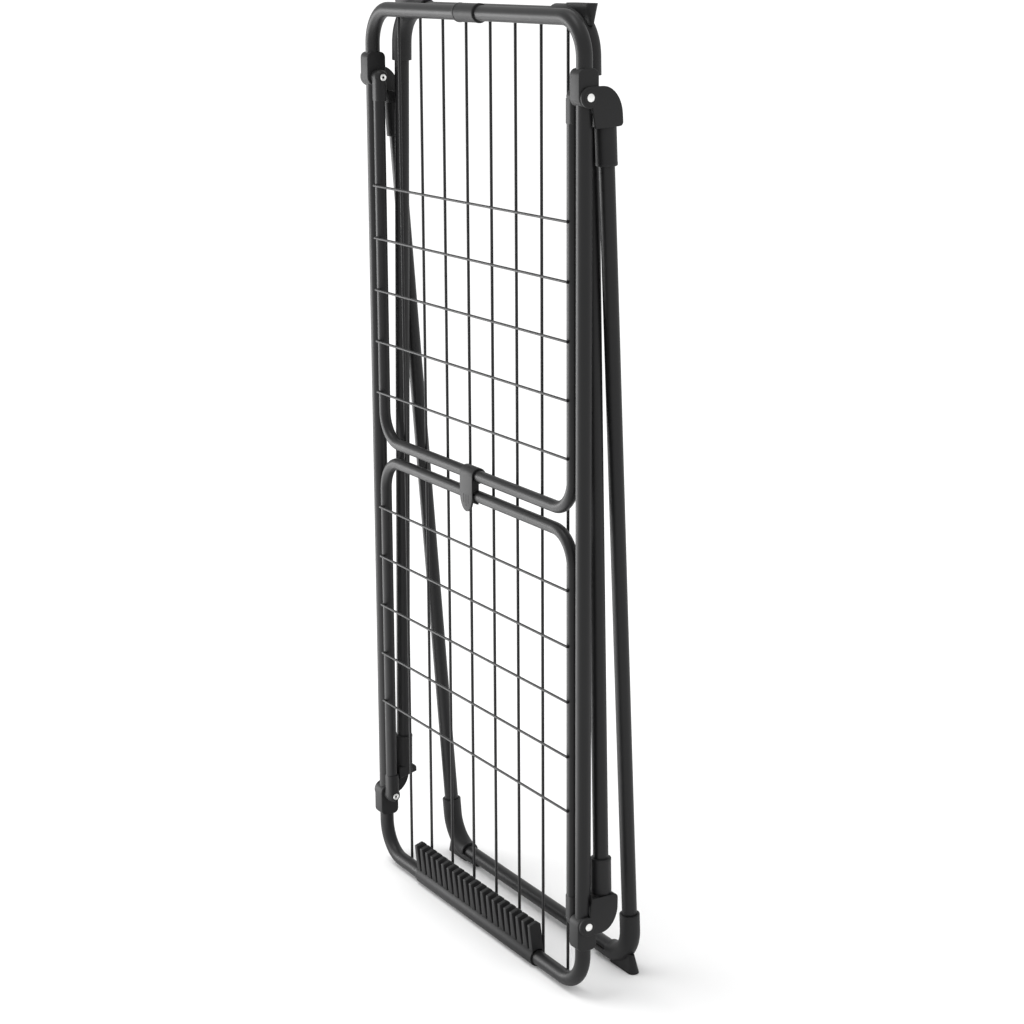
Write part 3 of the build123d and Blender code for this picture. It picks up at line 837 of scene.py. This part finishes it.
# ------------------------------------------------------------------ wings
# Each wing is a thinner coated tube bent into a U, with five short wires welded across its
# front. The upper wing hangs from the upper rivets and the lower one stands on the lower.
wing_low, wing_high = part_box("upper_wing_tube")
across_low, across_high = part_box("upper_wing_wires")
WING_R = 8 * MM
WING_X = wing_high.x - WING_R
WING_Y = (wing_low.y + wing_high.y) / 2
WING_END = wing_low.z + WING_R
WING_BEND = 43 * MM
WING_WIRE_R = (across_high.y - across_low.y) / 2
WING_WIRE_Y = (across_high.y + across_low.y) / 2
WING_WIRE_COUNT = 5
WING_NUGGET = Vector((2.6, 1.6, 2.4)) * MM

for wing, lower in (("upper_wing", False), ("lower_wing", True)):
    corners = [
        (WING_X, WING_Y, wing_high.z),
        (WING_X, WING_Y, WING_END),
        (-WING_X, WING_Y, WING_END),
        (-WING_X, WING_Y, wing_high.z),
    ]
    hoop = flipped(bent_tube(corners, WING_BEND, WING_R, sides=32), False, lower)
    piece(f"{wing}_hoop", hoop, wing, "tube_coating", tube_coat, f"{wing}_tube")
    rungs = bmesh.new()
    for i in range(WING_WIRE_COUNT):
        share = i / (WING_WIRE_COUNT - 1)
        z = (across_low.z + WING_WIRE_R) * (1 - share) + (across_high.z - WING_WIRE_R) * share
        ends = (across_low.x, WING_WIRE_Y, z), (across_high.x, WING_WIRE_Y, z)
        straight_rod(rungs, *ends, WING_WIRE_R)
        for x in (WING_X, -WING_X):
            weld_nugget(rungs, (x, WING_Y - WING_R, z), WING_NUGGET)
    rungs = flipped(rungs, False, lower)
    piece(f"{wing}_rungs", rungs, wing, "wire_coating", wire_coat, f"{wing}_wires")

# ------------------------------------------------------------------ wing sockets
# A black moulding on each end of a wing tube: a round boss, which narrows away from the block,
# turns on the rivet, and a short sleeve with squared sides carries the tube.
socket_low, socket_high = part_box("upper_wing_socket_right")
WING_BOSS_R = 10 * MM
WING_BOSS_FACE_R = 6.8 * MM
WING_BOSS_SLOPE = 6 * MM
BOSS_TIP_H = 0.6 * MM
BOSS_TIP_SINK = 0.8 * MM
BOSS_TIP_SWELL = 0.2 * MM
BOSS_SHOULDER = 1 * MM
BOSS_SHOULDER_SINK = 0.6 * MM
BOSS_SHOULDER_BEND = 0.15 * MM
BOSS_EDGE = 1 * MM
BOSS_EDGE_BEND = 0.3 * MM
WING_SLEEVE_CORNER = 6 * MM
WING_SLEEVE_EDGE = 0.8 * MM
WING_SLEEVE_TOP = 2 * MM
WING_SLEEVE_R = 9 * MM


def wing_socket():
    boss = bmesh.new()
    width = socket_high.x - socket_low.x
    turned(boss, (socket_low.x, FRAME_Y, HINGE_HIGH), (1, 0, 0), [
        (0, WING_BOSS_FACE_R - BOSS_TIP_SINK),
        (BOSS_TIP_H, WING_BOSS_FACE_R + BOSS_TIP_SWELL),
        (WING_BOSS_SLOPE - BOSS_SHOULDER, WING_BOSS_R - BOSS_SHOULDER_SINK),
        (WING_BOSS_SLOPE, WING_BOSS_R - BOSS_SHOULDER_BEND),
        (WING_BOSS_SLOPE + BOSS_SHOULDER, WING_BOSS_R),
        (width - BOSS_EDGE, WING_BOSS_R),
        (width - BOSS_EDGE_BEND, WING_BOSS_R - BOSS_EDGE_BEND),
        (width, WING_BOSS_R - BOSS_EDGE),
    ])
    low = Vector((WING_X - WING_SLEEVE_R, WING_Y - WING_R, socket_low.z))
    high = Vector((WING_X + WING_SLEEVE_R, WING_Y + WING_SLEEVE_R, HINGE_HIGH - WING_SLEEVE_TOP))
    sleeve = brick(low, high)
    soften(sleeve, edges_along(sleeve, 2, lambda m: True), WING_SLEEVE_CORNER, 6)
    soften(sleeve, rim_of(faces_at(sleeve, 2, low.z)), WING_SLEEVE_EDGE, 3)
    return join(boss, sleeve)


for wing, lower in (("upper_wing", False), ("lower_wing", True)):
    for side, left in SIDES.items():
        socket = flipped(wing_socket(), left, lower)
        piece(f"{wing}_pivot_{side}", socket, wing, "moulding", moulding, f"{wing}_socket_{side}")

# ------------------------------------------------------------------ wing clip
# A black moulding that turns on the upper wing's end tube. Its front is a flat plate that ends
# in a rounded thumb tongue with shallow grip ridges, and its jaw snaps over the lower wing.
clip_low, clip_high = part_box("wing_clip")
CLIP_HALF = (clip_high.x - clip_low.x) / 2
CLIP_WALL = 2.8 * MM
TONGUE_ROUND = 24 * MM
TONGUE_STEPS = 24
CLIP_EDGE = 0.4 * MM
TONGUE_EDGE = 0.9 * MM
WEB_EDGE = 0.6 * MM
WEB_SINK = 1 * MM
RIDGE_FADE = 0.25
RING_GAP = 0.05 * MM
JAW_GAP = 0.3 * MM
JAW_START = radians(95)
JAW_SWEEP = radians(172)
RIDGE_COUNT = 3
RIDGE_PITCH = 6 * MM
RIDGE_DROP = 17 * MM
RIDGE_R = 1.2 * MM
RIDGE_PROUD = 0.35 * MM

upper_bar = Vector((clip_low.x, WING_Y, WING_END))
lower_bar = Vector((clip_low.x, WING_Y, 2 * MIDDLE - WING_END))
ring_out = WING_R + CLIP_WALL
clip = bmesh.new()
near, far = band(clip, upper_bar, WING_R + RING_GAP, ring_out, 0, 2 * pi, 2 * CLIP_HALF, 40)
soften(clip, rim_of(near) + rim_of(far), CLIP_EDGE, 2)
jaw = bmesh.new()
near, far = band(
    jaw, lower_bar, WING_R + JAW_GAP, ring_out, JAW_START, JAW_SWEEP, 2 * CLIP_HALF, 20
)
soften(jaw, rim_of(near) + rim_of(far), CLIP_EDGE, 2)

front_y = clip_low.y
tongue = bmesh.new()
round_z = clip_low.z + TONGUE_ROUND
turns = [pi * i / TONGUE_STEPS for i in range(TONGUE_STEPS + 1)]
sweep = [(CLIP_HALF * cos(a), round_z - TONGUE_ROUND * sin(a)) for a in turns]
outline = [(CLIP_HALF, upper_bar.z), *sweep, (-CLIP_HALF, upper_bar.z)]
face = tongue.faces.new([tongue.verts.new((x, front_y, z)) for x, z in outline])
pull(tongue, [face], Vector((0, CLIP_WALL, 0)))
bmesh.ops.recalc_face_normals(tongue, faces=tongue.faces)
soften(tongue, rim_of(faces_at(tongue, 1, front_y)), TONGUE_EDGE, 3)
ridges = bmesh.new()
for i in range(RIDGE_COUNT):
    x = (i - (RIDGE_COUNT - 1) / 2) * RIDGE_PITCH
    drop = RIDGE_DROP * (1 - abs(i - (RIDGE_COUNT - 1) / 2) * RIDGE_FADE)
    y = front_y + RIDGE_R - RIDGE_PROUD
    straight_rod(ridges, (x, y, round_z), (x, y, round_z - drop), RIDGE_R, 12)
web = brick(
    Vector((-CLIP_HALF + CLIP_EDGE, front_y + WEB_SINK, lower_bar.z + WING_R / 2)),
    Vector((CLIP_HALF - CLIP_EDGE, WING_Y, upper_bar.z - WING_R / 2)),
)
soften(web, edges_along(web, 0, lambda m: True), WEB_EDGE, 2)
piece("thumb_clip", join(clip, jaw, tongue, web, ridges), "clip", "moulding", moulding, "wing_clip")

# ------------------------------------------------------------------ studio
# A pale seamless floor under an even sky, a high sun that lights the floor, one large soft
# light low on the left in front of the wings and a bright card on the floor before them, so
# black tubes show a grey side and a dark side.
rack_low, rack_high = cad_box
rack_middle = (rack_low + rack_high) / 2
FLOOR_HALF = 400.0

scene = bpy.context.scene
scene.view_settings.view_transform = "Standard"

floor_shape = bmesh.new()
bmesh.ops.create_grid(floor_shape, x_segments=2, y_segments=2, size=FLOOR_HALF)
floor_mesh = bpy.data.meshes.new("floor")
floor_shape.to_mesh(floor_mesh)
floor_shape.free()
floor = bpy.data.objects.new("floor", floor_mesh)
scene.collection.objects.link(floor)

floor_paint = bpy.data.materials.new("floor_paint")
floor_paint.use_nodes = True
floor_shader = floor_paint.node_tree.nodes["Principled BSDF"]
floor_shader.inputs["Base Color"].default_value = (0.9, 0.9, 0.9, 1)
floor_shader.inputs["Roughness"].default_value = 0.9
floor_shader.inputs["Specular IOR Level"].default_value = 0.0
floor_mesh.materials.append(floor_paint)

sky = bpy.data.worlds.new("studio_sky")
sky.use_nodes = True
sky.node_tree.nodes["Background"].inputs["Color"].default_value = (1, 1, 1, 1)
sky.node_tree.nodes["Background"].inputs["Strength"].default_value = 0.95
scene.world = sky


def aimed(name, lamp, place, aim):
    """Puts a lamp in the scene at a place, turned to face a point."""
    holder = bpy.data.objects.new(name, lamp)
    holder.location = place
    holder.rotation_euler = (Vector(aim) - Vector(place)).to_track_quat("-Z", "Y").to_euler()
    scene.collection.objects.link(holder)


sun = bpy.data.lights.new("high_sun", "SUN")
sun.energy = 1.0
sun.angle = radians(25)
aimed("high_sun", sun, (-0.6, -0.9, 5.0), rack_middle)

soft = bpy.data.lights.new("front_softbox", "AREA")
soft.shape = "RECTANGLE"
soft.size = 2.4
soft.size_y = 1.3
soft.energy = 82
aimed("front_softbox", soft, (-2.9, -2.3, 0.66), rack_middle)

card = bpy.data.lights.new("floor_card", "AREA")
card.shape = "RECTANGLE"
card.size = 2.6
card.size_y = 1.5
card.energy = 30
aimed("floor_card", card, (-1.2, -0.95, 0.004), (-1.2, -0.95, 1.0))
bpy.data.objects["floor_card"].visible_camera = False

camera_data = bpy.data.cameras.new("camera")
camera_data.sensor_width = 36.0
camera_data.lens = 79.72
camera_data.shift_y = -0.04
camera_data.clip_end = 2000.0
camera = bpy.data.objects.new("camera", camera_data)
camera.location = (2.5658, -1.4807, 1.3209)
heading = Matrix.Rotation(radians(59.834), 3, "Z")
tilt = Matrix.Rotation(pi / 2 - radians(12.96), 3, "X")
roll = Matrix.Rotation(radians(-0.312), 3, "Z")
camera.rotation_euler = (heading @ tilt @ roll).to_euler()
scene.collection.objects.link(camera)
scene.camera = camera
